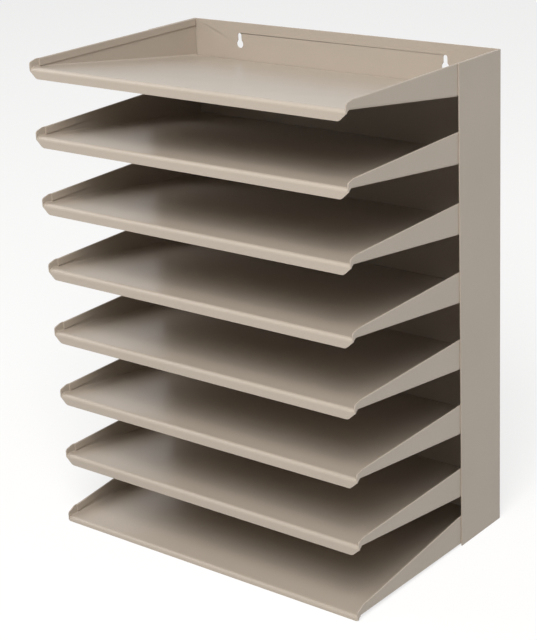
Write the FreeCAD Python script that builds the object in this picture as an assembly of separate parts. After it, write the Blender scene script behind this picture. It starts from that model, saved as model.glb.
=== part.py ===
"""Desktop file sorter: a folded sheet-steel back channel that carries a stack of tilted trays.

Millimetres, +Z up. The sorter faces -Y, and its back face lies in the plane Y = BACK_Y.
The origin is at the middle of the footprint, on the desk. One STEP file is written per piece.
"""
import FreeCAD, Part
import math
import os

# Overall sizes
WIDTH = 315.0            # outside of the back channel
DEPTH = 208.0            # back face to the front of the upper trays
BASE_REACH = 4.0         # how far the base tray stands in front of the upper trays
TRAY_COUNT = 8           # the base tray is one of them
PITCH = 57.15            # step from one tray to the next
BASE_STEP = 59.5         # step from the base tray up to the tray above it

# Sheet and folds
SHEET = 0.9              # steel sheet
BEND = 1.0               # inside radius of the long folds
LIP_BEND = 2.2           # inside radius of the fold along the front
SLIP = 0.1               # clearance each side between a tray and the channel

# Back channel
FLANGE_DEPTH = 62.3      # how far the side flanges reach forward
KEYHOLE_SPACING = 212.0
KEYHOLE_DROP = 19.0      # round hole's centre below the top edge of the back
KEYHOLE_HEAD_R = 3.5     # round hole that passes the screw head
KEYHOLE_SLOT = 4.0       # width of the slot that holds the screw
KEYHOLE_RISE = 7.6       # from the round hole's centre up to the slot's end centre

# Trays
TRAY_DROP = 25.7         # how much lower the back of a tray lies than its front
TOP_DROP = 30.7          # the same for the top tray
BASE_DROP = 3.1          # the same for the base tray
SIDE_FRONT = 7.5         # height of a side at its front end
BASE_SIDE_FRONT = 8.4    # the same for the base tray
SIDE_AT_FLANGE = 26.0    # height of a side where it enters the channel
SIDE_RUN_IN = 7.4        # length of the rounded nose of a side
NOSE_FLAT = 4.6          # upright part of the nose
LIP = 8.4                # height of the front lip
BASE_LIP = 3.4           # the same for the base tray, which rests on it
LIP_END_LEAN = 0.6       # how much further the slanted ends of a lip run inward than down
LIP_END_R = 5.0          # radius of the lower corners of a lip
HEM = 6.2                # height of the hem folded in along the top of a side
HEM_START = 10.5         # from the front of the tray to the hem
REAR_FLANGE = 10.0       # height of the flange that is welded to the back
REAR_INSET = 4.0         # from a tray's side to the end of that flange
REAR_GAP = 1.3           # the sides stop this far in front of the back panel
REAR_TIE = 6.0           # overlap of the floor with the strip that ends in that flange
RIM_CLEAR = 2.0          # least room from the base tray's sides up to the tray above

BACK_Y = (DEPTH + BASE_REACH) / 2
PANEL_Y = BACK_Y - SHEET               # front face of the back panel
FLANGE_Y = BACK_Y - FLANGE_DEPTH       # front edge of the side flanges
TRAY_HALF = WIDTH / 2 - SHEET - SLIP   # half the outside width of a tray
EXTRA = 5.0                            # how far a cutter runs past what it cuts
HAIR = 0.01                            # lets an outline pass just below the folded floor


def rounded_face(corners, place):
    """Flat face from (u, v, radius) corners; place turns u, v into a vector."""
    arcs = []
    count = len(corners)
    for index, (u, v, radius) in enumerate(corners):
        before = corners[index - 1]
        after = corners[(index + 1) % count]
        if radius == 0:
            arcs.append((place(u, v), None, place(u, v)))
            continue
        to_before = FreeCAD.Vector(before[0] - u, before[1] - v, 0).normalize()
        to_after = FreeCAD.Vector(after[0] - u, after[1] - v, 0).normalize()
        half_angle = to_before.getAngle(to_after) / 2
        setback = radius / math.tan(half_angle)
        inward = (to_before + to_after).normalize()
        middle = inward * (radius / math.sin(half_angle) - radius)
        start = to_before * setback
        end = to_after * setback
        arcs.append((place(u + start.x, v + start.y), place(u + middle.x, v + middle.y),
                     place(u + end.x, v + end.y)))
    edges = []
    for index, (start, middle, end) in enumerate(arcs):
        if middle is not None:
            edges.append(Part.Arc(start, middle, end).toShape())
        next_start = arcs[(index + 1) % count][0]
        if end.distanceToPoint(next_start) > 1e-6:
            edges.append(Part.LineSegment(end, next_start).toShape())
    return Part.Face(Part.Wire(edges))


def across(corners, half_width):
    """Solid with a Y, Z outline, from -half_width to half_width along X."""
    face = rounded_face(corners, lambda u, v: FreeCAD.Vector(-half_width, u, v))
    return face.extrude(FreeCAD.Vector(2 * half_width, 0, 0))


def box(low, high):
    """Box between two corners given as (x, y, z)."""
    size = [b - a for a, b in zip(low, high)]
    return Part.makeBox(size[0], size[1], size[2], FreeCAD.Vector(*low))


def mirrored_pair(shape):
    """The shape and its mirror image across the middle plane X = 0."""
    return [shape, shape.mirror(FreeCAD.Vector(0, 0, 0), FreeCAD.Vector(1, 0, 0))]


class Tray:
    """Sizes of one tray: where its front edge is and how its sides run.

    fold is the inside radius of the front fold. The fold starts from the lip at height fold_z
    and ends in the floor at fold_y. above is the next tray up, which only the base tray needs
    to know.
    """

    def __init__(self, name, front_y, front_z, drop, side_front, lip, above=None):
        self.name = name
        self.front_y = front_y
        self.front_z = front_z
        self.slope = -drop / (BACK_Y - front_y)
        self.side_front = side_front
        self.lip = lip
        self.is_base = front_z == lip
        self.fold = min(LIP_BEND, lip - SHEET)
        self.fold_y = front_y + self.fold + SHEET
        self.fold_z = self.floor(front_y) - self.fold - SHEET
        self.above = above

    def under(self, y):
        """Height of the floor's underside."""
        return self.front_z + self.slope * (y - self.front_y)

    def floor(self, y):
        """Height of the floor's top face."""
        return self.under(y) + SHEET * math.hypot(1, self.slope)

    def rim(self, y):
        """Height of the top edge of the sides.

        It is one straight line, but the base tray's runs level inside the channel, or lower
        where the tray above it comes down that far.
        """
        front = self.front_y + SIDE_RUN_IN
        front_top = self.under(front) + self.side_front
        flange_top = self.under(FLANGE_Y) + SIDE_AT_FLANGE
        rise = (flange_top - front_top) / (FLANGE_Y - front)
        if self.is_base and y > FLANGE_Y:
            rear_top = min(flange_top, self.above.under(PANEL_Y) - RIM_CLEAR)
            rise = (rear_top - flange_top) / (PANEL_Y - FLANGE_Y)
            return flange_top + rise * (y - FLANGE_Y)
        return front_top + rise * (y - front)


def tray_list():
    """The trays from the top one to the base tray."""
    front_y = BACK_Y - DEPTH
    trays = []
    for index in range(TRAY_COUNT - 1):
        steps_up = TRAY_COUNT - 2 - index
        front_z = BASE_LIP + BASE_STEP + steps_up * PITCH
        name = "top_tray" if index == 0 else "tray_%d" % (index + 1)
        drop = TOP_DROP if index == 0 else TRAY_DROP
        trays.append(Tray(name, front_y, front_z, drop, SIDE_FRONT, LIP))
    trays.append(Tray("base_tray", front_y - BASE_REACH, BASE_LIP, BASE_DROP,
                      BASE_SIDE_FRONT, BASE_LIP, trays[-1]))
    return trays


def folded_body(tray):
    """Floor and both sides with their rounded folds, from the front fold to the rear."""
    low = tray.under(tray.fold_y)
    high = low + SIDE_AT_FLANGE + abs(tray.slope) * DEPTH + EXTRA
    outer = TRAY_HALF
    inner = TRAY_HALF - SHEET
    floor = tray.floor(tray.fold_y)
    section = [(-outer, high, 0), (-outer, low, BEND + SHEET), (outer, low, BEND + SHEET),
               (outer, high, 0), (inner, high, 0), (inner, floor, BEND),
               (-inner, floor, BEND), (-inner, high, 0)]
    face = rounded_face(section, lambda u, v: FreeCAD.Vector(u, tray.fold_y, v))
    run = PANEL_Y - REAR_GAP - tray.fold_y
    folded = face.extrude(FreeCAD.Vector(0, run, tray.slope * run))
    return folded.common(side_outline(tray))


def side_nose(tray):
    """Front end of the right side, which closes the end of the front fold."""
    blank = box((TRAY_HALF - SHEET, tray.front_y - EXTRA, tray.fold_z - EXTRA),
                (TRAY_HALF, tray.fold_y + HAIR, tray.rim(tray.fold_y) + SIDE_AT_FLANGE))
    return blank.common(side_outline(tray))


def side_outline(tray):
    """Solid whose side view is the outline of a tray's side, as wide as the tray."""
    nose_y = tray.front_y
    nose_top = tray.front_y + SIDE_RUN_IN
    hem_y = tray.front_y + HEM_START
    rear_y = PANEL_Y - REAR_GAP
    inner_y = nose_y + SHEET
    corners = [(inner_y, tray.under(inner_y) - HAIR, tray.fold),
               (inner_y, tray.fold_z, 0),
               (nose_y, tray.fold_z, 0),
               (nose_y, tray.under(nose_y) + NOSE_FLAT, NOSE_FLAT / 2),
               (nose_top, tray.rim(nose_top), NOSE_FLAT / 2),
               (hem_y, tray.rim(hem_y), 0),
               (hem_y, tray.rim(hem_y) - SHEET, 0)]
    if tray.is_base:
        corners.append((FLANGE_Y, tray.rim(FLANGE_Y) - SHEET, 0))
    corners.append((rear_y, tray.rim(rear_y) - SHEET, 0))
    corners.append((rear_y, tray.under(rear_y) - HAIR, 0))
    return across(corners, TRAY_HALF + EXTRA)


def front_lip(tray):
    """Strip that carries the floor round the front fold and down into the lip."""
    tie_y = tray.front_y + HEM_START
    inner_y = tray.front_y + SHEET
    bottom = tray.front_z - tray.lip
    corners = [(tie_y, tray.under(tie_y), 0),
               (tie_y, tray.floor(tie_y), 0),
               (tray.front_y, tray.floor(tray.front_y), tray.fold + SHEET),
               (tray.front_y, bottom, 0),
               (inner_y, bottom, 0),
               (inner_y, tray.under(inner_y), tray.fold)]
    strip = across(corners, TRAY_HALF)
    for cutter in (lip_end_cutter(tray), side_fold_cutter(tray, tie_y)):
        for tool in mirrored_pair(cutter):
            strip = strip.cut(tool)
    return strip


def lip_end_cutter(tray):
    """What lies outside the slanted right end of the lip and its rounded lower corner."""
    start_y = tray.front_y - EXTRA
    top = tray.fold_z
    bottom = tray.front_z - tray.lip
    slant = top - bottom + LIP_END_LEAN
    blank = box((TRAY_HALF - slant - LIP_END_R, start_y, bottom - EXTRA),
                (TRAY_HALF + EXTRA, tray.fold_y, top))
    corners = [(0, top, 0), (TRAY_HALF, top, 0),
               (TRAY_HALF - slant, bottom, min(LIP_END_R, top - bottom)), (0, bottom, 0)]
    face = rounded_face(corners, lambda u, v: FreeCAD.Vector(u, start_y, v))
    return blank.cut(face.extrude(FreeCAD.Vector(0, tray.fold_y - start_y, 0)))


def side_fold_cutter(tray, end_y):
    """What lies outside the rounded right side fold, behind the front fold."""
    radius = BEND + SHEET
    low = tray.under(tray.fold_y)
    centre_x = TRAY_HALF - radius
    run = end_y + EXTRA - tray.fold_y
    travel = FreeCAD.Vector(0, run, tray.slope * run)
    corners = [(centre_x, low - EXTRA, 0), (TRAY_HALF + EXTRA, low - EXTRA, 0),
               (TRAY_HALF + EXTRA, low + radius, 0), (centre_x, low + radius, 0)]
    blank = rounded_face(corners, lambda u, v: FreeCAD.Vector(u, tray.fold_y, v)).extrude(travel)
    circle = Part.Circle(FreeCAD.Vector(centre_x, tray.fold_y, low + radius),
                         FreeCAD.Vector(0, 1, 0), radius)
    bar = Part.Face(Part.Wire([circle.toShape()])).extrude(travel)
    return blank.cut(bar)


def rear_strip(tray):
    """End of the floor and the flange that is welded flat to the back panel.

    It turns down behind the upper trays. The base tray has no room below, so it turns up.
    """
    tie_y = PANEL_Y - REAR_GAP - REAR_TIE
    inner_y = PANEL_Y - SHEET
    if tray.is_base:
        top = tray.floor(PANEL_Y) + REAR_FLANGE
        corners = [(tie_y, tray.floor(tie_y), 0), (tie_y, tray.under(tie_y), 0),
                   (PANEL_Y, tray.under(PANEL_Y), BEND + SHEET), (PANEL_Y, top, 0),
                   (inner_y, top, 0), (inner_y, tray.floor(inner_y), BEND)]
    else:
        bottom = tray.under(PANEL_Y) - REAR_FLANGE
        corners = [(tie_y, tray.under(tie_y), 0), (tie_y, tray.floor(tie_y), 0),
                   (PANEL_Y, tray.floor(PANEL_Y), BEND + SHEET), (PANEL_Y, bottom, 0),
                   (inner_y, bottom, 0), (inner_y, tray.under(inner_y), BEND)]
    return across(corners, TRAY_HALF - REAR_INSET)


def hem(tray):
    """Double edge along the top of the right side: the sheet folded over and down inside."""
    outer = TRAY_HALF
    inner = TRAY_HALF - 2 * SHEET
    start_y = tray.front_y + HEM_START
    stops = [start_y, PANEL_Y - REAR_GAP]
    if tray.is_base:
        stops.insert(1, FLANGE_Y)
    pieces = []
    for near, far in zip(stops, stops[1:]):
        top = tray.rim(near)
        section = [(inner, top - HEM, 0), (outer, top - HEM, 0), (outer, top, SHEET * 0.9),
                   (inner, top, SHEET * 0.9)]
        face = rounded_face(section, lambda u, v: FreeCAD.Vector(u, near, v))
        pieces.append(face.extrude(FreeCAD.Vector(0, far - near, tray.rim(far) - top)))
    return pieces


def make_tray(tray):
    """One tray as a single folded sheet."""
    extras = [front_lip(tray), rear_strip(tray)]
    for piece in [side_nose(tray)] + hem(tray):
        extras.extend(mirrored_pair(piece))
    return folded_body(tray).fuse(extras).removeSplitter()


def keyhole(x, top):
    """Cutter for one keyhole: a round hole with a narrower slot rising from it."""
    centre_z = top - KEYHOLE_DROP
    end_z = centre_z + KEYHOLE_RISE
    start_y = BACK_Y - SHEET - EXTRA
    length = SHEET + 2 * EXTRA
    along = FreeCAD.Vector(0, 1, 0)
    head = Part.makeCylinder(KEYHOLE_HEAD_R, length, FreeCAD.Vector(x, start_y, centre_z), along)
    end = Part.makeCylinder(KEYHOLE_SLOT / 2, length, FreeCAD.Vector(x, start_y, end_z), along)
    slot = box((x - KEYHOLE_SLOT / 2, start_y, centre_z),
               (x + KEYHOLE_SLOT / 2, start_y + length, end_z))
    return head.fuse([slot, end])


def make_back_channel(top_tray):
    """Back panel with its two side flanges, folded from one sheet."""
    outer = WIDTH / 2
    inner = outer - SHEET
    outline = [(-outer, FLANGE_Y, 0), (-outer, BACK_Y, BEND + SHEET),
               (outer, BACK_Y, BEND + SHEET), (outer, FLANGE_Y, 0), (inner, FLANGE_Y, 0),
               (inner, PANEL_Y, BEND), (-inner, PANEL_Y, BEND), (-inner, FLANGE_Y, 0)]
    face = rounded_face(outline, lambda u, v: FreeCAD.Vector(u, v, 0))
    front_top = top_tray.rim(FLANGE_Y)
    back_top = top_tray.rim(BACK_Y)
    channel = face.extrude(FreeCAD.Vector(0, 0, front_top + EXTRA))
    past_front = FLANGE_Y - EXTRA
    past_back = BACK_Y + EXTRA
    waste = across([(past_front, top_tray.rim(past_front), 0), (past_back, top_tray.rim(past_back), 0),
                    (past_back, front_top + 3 * EXTRA, 0), (past_front, front_top + 3 * EXTRA, 0)],
                   outer + EXTRA)
    channel = channel.cut(waste)
    for side in (-1, 1):
        channel = channel.cut(keyhole(side * KEYHOLE_SPACING / 2, back_top))
    return channel


def main():
    """Build every piece and write its STEP file."""
    os.makedirs("parts", exist_ok=True)
    trays = tray_list()
    shapes = {"back_channel": make_back_channel(trays[0])}
    for tray in trays:
        shapes[tray.name] = make_tray(tray)
    for name, shape in shapes.items():
        solids = shape.Solids
        if len(solids) != 1 or not shape.isValid():
            raise RuntimeError("%s is not one valid solid: %d solids" % (name, len(solids)))
        solids[0].exportStep("parts/%s.step" % name)
        bounds = shape.BoundBox
        print("%-13s volume %.1f  x %.2f..%.2f  y %.2f..%.2f  z %.2f..%.2f" % (
            name, shape.Volume, bounds.XMin, bounds.XMax, bounds.YMin, bounds.YMax,
            bounds.ZMin, bounds.ZMax))


main()
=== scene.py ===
"""Looks of a desktop file sorter: eight folded steel trays welded into a folded steel back channel.

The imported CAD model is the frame. Its nodes keep their places and their meshes. This script paints them, rounds
their cut edges by the thickness of the paint, and builds the studio and the camera.
"""

import logging
import math
from dataclasses import dataclass, field
from enum import Enum

import bpy
from mathutils import Matrix, Vector


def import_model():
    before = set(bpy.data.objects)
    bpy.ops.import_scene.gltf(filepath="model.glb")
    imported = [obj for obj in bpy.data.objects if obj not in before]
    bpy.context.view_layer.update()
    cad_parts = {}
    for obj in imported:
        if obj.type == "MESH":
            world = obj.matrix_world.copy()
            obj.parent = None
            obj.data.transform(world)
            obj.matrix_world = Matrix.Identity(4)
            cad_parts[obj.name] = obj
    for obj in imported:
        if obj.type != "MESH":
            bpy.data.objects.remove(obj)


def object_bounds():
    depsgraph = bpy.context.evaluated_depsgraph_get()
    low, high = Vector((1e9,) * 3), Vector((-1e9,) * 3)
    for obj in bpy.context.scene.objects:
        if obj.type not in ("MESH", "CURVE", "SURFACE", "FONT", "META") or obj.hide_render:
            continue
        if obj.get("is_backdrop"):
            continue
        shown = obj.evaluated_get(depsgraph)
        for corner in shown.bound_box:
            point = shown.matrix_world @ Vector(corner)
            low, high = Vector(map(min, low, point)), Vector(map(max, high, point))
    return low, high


LOG = logging.getLogger("file_sorter")
MM = 0.001


def linear(hex_colour: str) -> tuple[float, float, float, float]:
    """Turns an sRGB hex colour into linear light.

    Args:
        hex_colour: The colour as six hex digits after a hash sign.

    Returns:
        Linear red, green and blue, and an alpha of 1.
    """
    parts = [int(hex_colour[i : i + 2], 16) / 255 for i in (1, 3, 5)]
    light = [p / 12.92 if p <= 0.04045 else ((p + 0.055) / 1.055) ** 2.4 for p in parts]
    return (light[0], light[1], light[2], 1.0)


def per_metre(size_mm: float) -> float:
    """Gives the texture scale at which one cell of a pattern measures size_mm."""
    return 1 / (size_mm * MM)


def add_node(
    tree: bpy.types.NodeTree,
    kind: str,
    settings: dict[str, object] | None = None,
    values: dict[str, object] | None = None,
    links: dict[str, bpy.types.NodeSocket] | None = None,
) -> bpy.types.Node:
    """Adds one shader node with its settings, its socket values and its incoming links.

    Args:
        tree: The node tree that gets the node.
        kind: The node's Blender type name.
        settings: Attributes of the node itself.
        values: Constants set on the node's input sockets, by socket name.
        links: Output sockets to join to the node's input sockets, by socket name.

    Returns:
        The new node.
    """
    node = tree.nodes.new(kind)
    for name, setting in (settings or {}).items():
        setattr(node, name, setting)
    for name, constant in (values or {}).items():
        node.inputs[name].default_value = constant
    for name, source in (links or {}).items():
        tree.links.new(source, node.inputs[name])
    return node


def blank_material(name: str) -> tuple[bpy.types.Material, bpy.types.NodeTree]:
    """Makes a material with an empty node tree.

    Args:
        name: The material's name.

    Returns:
        The material and its node tree.
    """
    material = bpy.data.materials.new(name)
    material.use_nodes = True
    material.node_tree.nodes.clear()
    return material, material.node_tree


@dataclass(frozen=True)
class PowderCoat:
    """Polyester powder coat, sprayed on folded steel and baked.

    The powder melts into one thick, even skin. The eye sees a flat putty colour with a soft, blurred gloss, and
    the faint waves of orange peel where a light or a neighbour is reflected. The waves of a real coat are 1 to 4 mm
    long and some microns high; they are drawn a few times higher here, so that they show at arm's length.
    """

    name: str = "powder_coat_putty_semi_gloss"
    body_hex: str = "#b9ac9e"
    shade_hex: str = "#b1a698"
    fleck_hex: str = "#a89c8e"
    cloud_mm: float = 85.0
    fleck_mm: float = 1.3
    fleck_share: float = 0.16
    peel_mm: float = 3.2
    grain_mm: float = 0.9
    peel_height_mm: float = 0.035
    grain_height_mm: float = 0.006
    gloss_low: float = 0.30
    gloss_high: float = 0.38
    ior: float = 1.5
    noise_low: float = 0.3
    noise_high: float = 0.7
    fleck_from: float = 0.55
    fleck_to: float = 0.8

    def build(self) -> bpy.types.Material:
        """Builds the paint.

        Returns:
            The finished material.
        """
        material, tree = blank_material(self.name)
        place = add_node(tree, "ShaderNodeTexCoord").outputs["Object"]
        colour = self._colour(tree, place)
        cloud = add_node(
            tree,
            "ShaderNodeTexNoise",
            values={"Scale": per_metre(self.cloud_mm), "Detail": 3.0, "Roughness": 0.5},
            links={"Vector": place},
        )
        gloss = add_node(
            tree,
            "ShaderNodeMapRange",
            values={
                "From Min": self.noise_low,
                "From Max": self.noise_high,
                "To Min": self.gloss_low,
                "To Max": self.gloss_high,
            },
            links={"Value": cloud.outputs["Fac"]},
        )
        shader = add_node(
            tree,
            "ShaderNodeBsdfPrincipled",
            values={"Metallic": 0.0, "IOR": self.ior},
            links={
                "Base Color": colour,
                "Roughness": gloss.outputs["Result"],
                "Normal": self._surface(tree, place),
            },
        )
        add_node(tree, "ShaderNodeOutputMaterial", links={"Surface": shader.outputs["BSDF"]})
        return material

    def _colour(self, tree: bpy.types.NodeTree, place: bpy.types.NodeSocket) -> bpy.types.NodeSocket:
        """Mixes the skin's slow cloudiness and the fine flecks of unmelted powder.

        Args:
            tree: The paint's node tree.
            place: The point on the object, in metres.

        Returns:
            The colour socket.
        """
        cloud = add_node(
            tree,
            "ShaderNodeTexNoise",
            values={"Scale": per_metre(self.cloud_mm), "Detail": 2.0, "Roughness": 0.55},
            links={"Vector": place},
        )
        base = add_node(
            tree,
            "ShaderNodeMix",
            settings={"data_type": "RGBA"},
            links={"Factor": cloud.outputs["Fac"]},
        )
        base.inputs[6].default_value = linear(self.body_hex)
        base.inputs[7].default_value = linear(self.shade_hex)
        fleck = add_node(
            tree,
            "ShaderNodeTexNoise",
            values={"Scale": per_metre(self.fleck_mm), "Detail": 1.0, "Roughness": 0.5},
            links={"Vector": place},
        )
        share = add_node(
            tree,
            "ShaderNodeMapRange",
            values={
                "From Min": self.fleck_from,
                "From Max": self.fleck_to,
                "To Min": 0.0,
                "To Max": self.fleck_share,
            },
            links={"Value": fleck.outputs["Fac"]},
        )
        flecked = add_node(
            tree,
            "ShaderNodeMix",
            settings={"data_type": "RGBA"},
            links={"Factor": share.outputs["Result"]},
        )
        tree.links.new(base.outputs[2], flecked.inputs[6])
        flecked.inputs[7].default_value = linear(self.fleck_hex)
        return flecked.outputs[2]

    def _surface(self, tree: bpy.types.NodeTree, place: bpy.types.NodeSocket) -> bpy.types.NodeSocket:
        """Lays the orange peel over the finer grain of the powder.

        Args:
            tree: The paint's node tree.
            place: The point on the object, in metres.

        Returns:
            The normal socket.
        """
        normal = None
        for size_mm, height_mm in (
            (self.peel_mm, self.peel_height_mm),
            (self.grain_mm, self.grain_height_mm),
        ):
            wave = add_node(
                tree,
                "ShaderNodeTexNoise",
                values={"Scale": per_metre(size_mm), "Detail": 1.0, "Roughness": 0.4},
                links={"Vector": place},
            )
            links = {"Height": wave.outputs["Fac"]}
            if normal is not None:
                links["Normal"] = normal
            bump = add_node(
                tree,
                "ShaderNodeBump",
                values={"Strength": 1.0, "Distance": height_mm * MM},
                links=links,
            )
            normal = bump.outputs["Normal"]
        return normal


@dataclass
class SheetMetalPart:
    """One folded sheet of the sorter, carried over from the CAD."""

    node: str
    paint_radius_mm: float = 0.28
    paint_steps: int = 2
    crease_deg: float = 50.0
    weld_mm: float = 0.001
    face_weight: int = 100

    def dress(self, coat: bpy.types.Material) -> bpy.types.Object:
        """Paints the sheet and rounds its cut edges, as the thick skin of paint does.

        Args:
            coat: The baked paint.

        Returns:
            The painted CAD object.
        """
        sheet = bpy.data.objects[self.node]
        sheet.data.materials.clear()
        sheet.data.materials.append(coat)
        weld = sheet.modifiers.new("join_faces", "WELD")
        weld.merge_threshold = self.weld_mm * MM
        edge = sheet.modifiers.new("paint_on_edges", "BEVEL")
        edge.width = self.paint_radius_mm * MM
        edge.segments = self.paint_steps
        edge.limit_method = "ANGLE"
        edge.angle_limit = math.radians(self.crease_deg)
        edge.use_clamp_overlap = True
        shade = sheet.modifiers.new("even_shading", "WEIGHTED_NORMAL")
        shade.keep_sharp = True
        shade.weight = self.face_weight
        return sheet


@dataclass
class BackChannel:
    """The upright channel: back panel and both side flanges, folded from one sheet."""

    body: SheetMetalPart = field(default_factory=lambda: SheetMetalPart("back_channel"))

    def dress(self, coat: bpy.types.Material) -> list[bpy.types.Object]:
        """Paints the channel with the given coat and returns it."""
        return [self.body.dress(coat)]


@dataclass
class TrayStack:
    """The eight trays, each folded from one sheet with a rolled lip and hemmed sides."""

    top: str = "top_tray"
    middle: tuple[str, ...] = ("tray_2", "tray_3", "tray_4", "tray_5", "tray_6", "tray_7")
    base: str = "base_tray"

    def dress(self, coat: bpy.types.Material) -> list[bpy.types.Object]:
        """Paints every tray with the given coat, from the top one down, and returns them."""
        return [SheetMetalPart(name).dress(coat) for name in (self.top, *self.middle, self.base)]


class Backdrop(Enum):
    """What a ray that leaves the object sees in the studio."""

    PAPER = "#f4f3f1"
    WHITE = "#ffffff"


@dataclass
class Lamp:
    """A soft box, placed by its direction from the object."""

    name: str
    azimuth_deg: float
    elevation_deg: float
    distance_m: float
    side_m: float
    level: float
    tint_hex: str = "#ffffff"

    def build(self, target: Vector) -> bpy.types.Object:
        """Hangs the soft box and turns it to the object.

        Args:
            target: The point that the lamp faces.

        Returns:
            The lamp object.
        """
        azimuth = math.radians(self.azimuth_deg)
        elevation = math.radians(self.elevation_deg)
        outward = Vector(
            (
                math.sin(azimuth) * math.cos(elevation),
                -math.cos(azimuth) * math.cos(elevation),
                math.sin(elevation),
            )
        )
        data = bpy.data.lights.new(self.name, "AREA")
        data.shape = "SQUARE"
        data.size = self.side_m
        data.energy = self.level * math.pi**2 * self.distance_m**2
        data.color = linear(self.tint_hex)[:3]
        lamp = bpy.data.objects.new(self.name, data)
        lamp.location = target + outward * self.distance_m
        lamp.rotation_euler = (-outward).to_track_quat("-Z", "Y").to_euler()
        bpy.context.scene.collection.objects.link(lamp)
        return lamp


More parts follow.
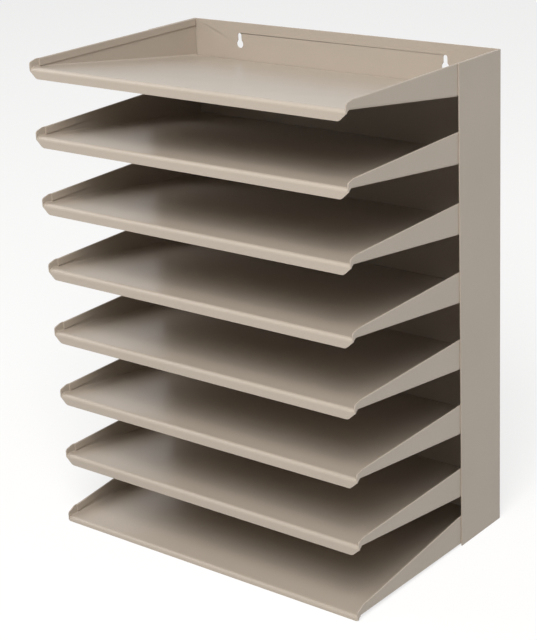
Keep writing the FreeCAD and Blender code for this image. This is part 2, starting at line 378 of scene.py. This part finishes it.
@dataclass
class Studio:
    """Pale floor, white surround and soft boxes at a plain level."""

    floor_half_m: float = 6.0
    floor_white_share: float = 0.72
    fill_level: float = 0.22
    lamps: tuple[Lamp, ...] = (
        Lamp("key_soft_box", 28.0, 48.0, 2.4, 1.5, 0.95),
        Lamp("left_soft_box", -70.0, 35.0, 2.6, 1.4, 0.22),
    )

    def build(self, low: Vector, high: Vector) -> list[bpy.types.Object]:
        """Builds the floor, the surround and the lamps around the object.

        Args:
            low: The object's lowest corner.
            high: The object's highest corner.

        Returns:
            The floor and the lamps.
        """
        floor = self._floor(low.z)
        self._surround()
        centre = (low + high) / 2
        return [floor] + [lamp.build(centre) for lamp in self.lamps]

    def _seen_share(self, tree: bpy.types.NodeTree) -> bpy.types.NodeSocket:
        """Tells the rays that show the backdrop from those that light the object.

        Args:
            tree: The node tree that asks.

        Returns:
            A socket that is 1 for camera, mirror and glass rays.
        """
        path = add_node(tree, "ShaderNodeLightPath")
        either = add_node(tree, "ShaderNodeMath", settings={"operation": "MAXIMUM"})
        tree.links.new(path.outputs["Is Camera Ray"], either.inputs[0])
        tree.links.new(path.outputs["Is Glossy Ray"], either.inputs[1])
        seen = add_node(tree, "ShaderNodeMath", settings={"operation": "MAXIMUM"})
        tree.links.new(either.outputs[0], seen.inputs[0])
        tree.links.new(path.outputs["Is Transmission Ray"], seen.inputs[1])
        return seen.outputs[0]

    def _surround(self) -> None:
        """Makes the world: white where it is seen, a low even fill where it lights."""
        world = bpy.data.worlds.new("studio_surround")
        bpy.context.scene.world = world
        world.use_nodes = True
        tree = world.node_tree
        tree.nodes.clear()
        fill = add_node(
            tree,
            "ShaderNodeBackground",
            values={"Color": linear(Backdrop.WHITE.value), "Strength": self.fill_level},
        )
        white = add_node(
            tree,
            "ShaderNodeBackground",
            values={"Color": linear(Backdrop.WHITE.value), "Strength": 1.0},
        )
        mix = add_node(tree, "ShaderNodeMixShader", links={"Fac": self._seen_share(tree)})
        tree.links.new(fill.outputs[0], mix.inputs[1])
        tree.links.new(white.outputs[0], mix.inputs[2])
        add_node(tree, "ShaderNodeOutputWorld", links={"Surface": mix.outputs[0]})

    def _floor(self, height: float) -> bpy.types.Object:
        """Lays the pale floor under the object.

        Args:
            height: The floor's height in metres.

        Returns:
            The floor object.
        """
        half = self.floor_half_m
        mesh = bpy.data.meshes.new("studio_floor")
        corners = [(-half, -half, height), (half, -half, height), (half, half, height), (-half, half, height)]
        mesh.from_pydata(corners, [], [(0, 1, 2, 3)])
        material, tree = blank_material("matt_paper_floor")
        paper = add_node(
            tree,
            "ShaderNodeBsdfDiffuse",
            values={"Color": linear(Backdrop.PAPER.value), "Roughness": 1.0},
        )
        white = add_node(
            tree,
            "ShaderNodeEmission",
            values={"Color": linear(Backdrop.WHITE.value), "Strength": 1.0},
        )
        share = add_node(tree, "ShaderNodeMath", settings={"operation": "MULTIPLY"})
        tree.links.new(self._seen_share(tree), share.inputs[0])
        share.inputs[1].default_value = self.floor_white_share
        mix = add_node(tree, "ShaderNodeMixShader", links={"Fac": share.outputs[0]})
        tree.links.new(paper.outputs[0], mix.inputs[1])
        tree.links.new(white.outputs[0], mix.inputs[2])
        add_node(tree, "ShaderNodeOutputMaterial", links={"Surface": mix.outputs[0]})
        mesh.materials.append(material)
        floor = bpy.data.objects.new("studio_floor", mesh)
        bpy.context.scene.collection.objects.link(floor)
        floor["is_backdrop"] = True
        return floor


@dataclass
class ViewCamera:
    """The camera, off the front right corner and a little above the top tray."""

    place_m: tuple[float, float, float] = (0.85099, -1.06096, 0.69654)
    azimuth_deg: float = 39.875
    down_deg: float = 20.525
    roll_deg: float = -3.116
    lens_mm: float = 116.15
    sensor_mm: float = 36.0
    shift: tuple[float, float] = (0.0531, 0.0007)

    def build(self) -> bpy.types.Object:
        """Builds the camera and makes it the scene's own.

        Returns:
            The camera object.
        """
        azimuth = math.radians(self.azimuth_deg)
        down = math.radians(self.down_deg)
        forward = Vector(
            (
                -math.sin(azimuth) * math.cos(down),
                math.cos(azimuth) * math.cos(down),
                -math.sin(down),
            )
        )
        level = Vector((math.cos(azimuth), math.sin(azimuth), 0.0))
        right = Matrix.Rotation(math.radians(-self.roll_deg), 3, forward) @ level
        upward = right.cross(forward)
        data = bpy.data.cameras.new("view_camera")
        data.sensor_fit = "HORIZONTAL"
        data.sensor_width = self.sensor_mm
        data.lens = self.lens_mm
        data.shift_x, data.shift_y = self.shift
        camera = bpy.data.objects.new("view_camera", data)
        turn = Matrix((right, upward, -forward)).transposed().to_4x4()
        camera.matrix_world = Matrix.Translation(Vector(self.place_m)) @ turn
        bpy.context.scene.collection.objects.link(camera)
        bpy.context.scene.camera = camera
        return camera


def main() -> None:
    """Loads the frame, paints every sheet, and builds the studio and the camera."""
    logging.basicConfig(level=logging.INFO, format="%(name)s: %(message)s")
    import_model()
    cad_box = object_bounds()
    bpy.context.scene.view_settings.view_transform = "Standard"
    low, high = (Vector(corner) for corner in cad_box)
    coat = PowderCoat().build()
    for part in (BackChannel(), TrayStack()):
        for sheet in part.dress(coat):
            LOG.info("painted %s with %s", sheet.name, coat.name)
    for piece in Studio().build(low, high):
        LOG.info("studio piece %s", piece.name)
    LOG.info("camera %s", ViewCamera().build().name)


if __name__ == "__main__":
    main()
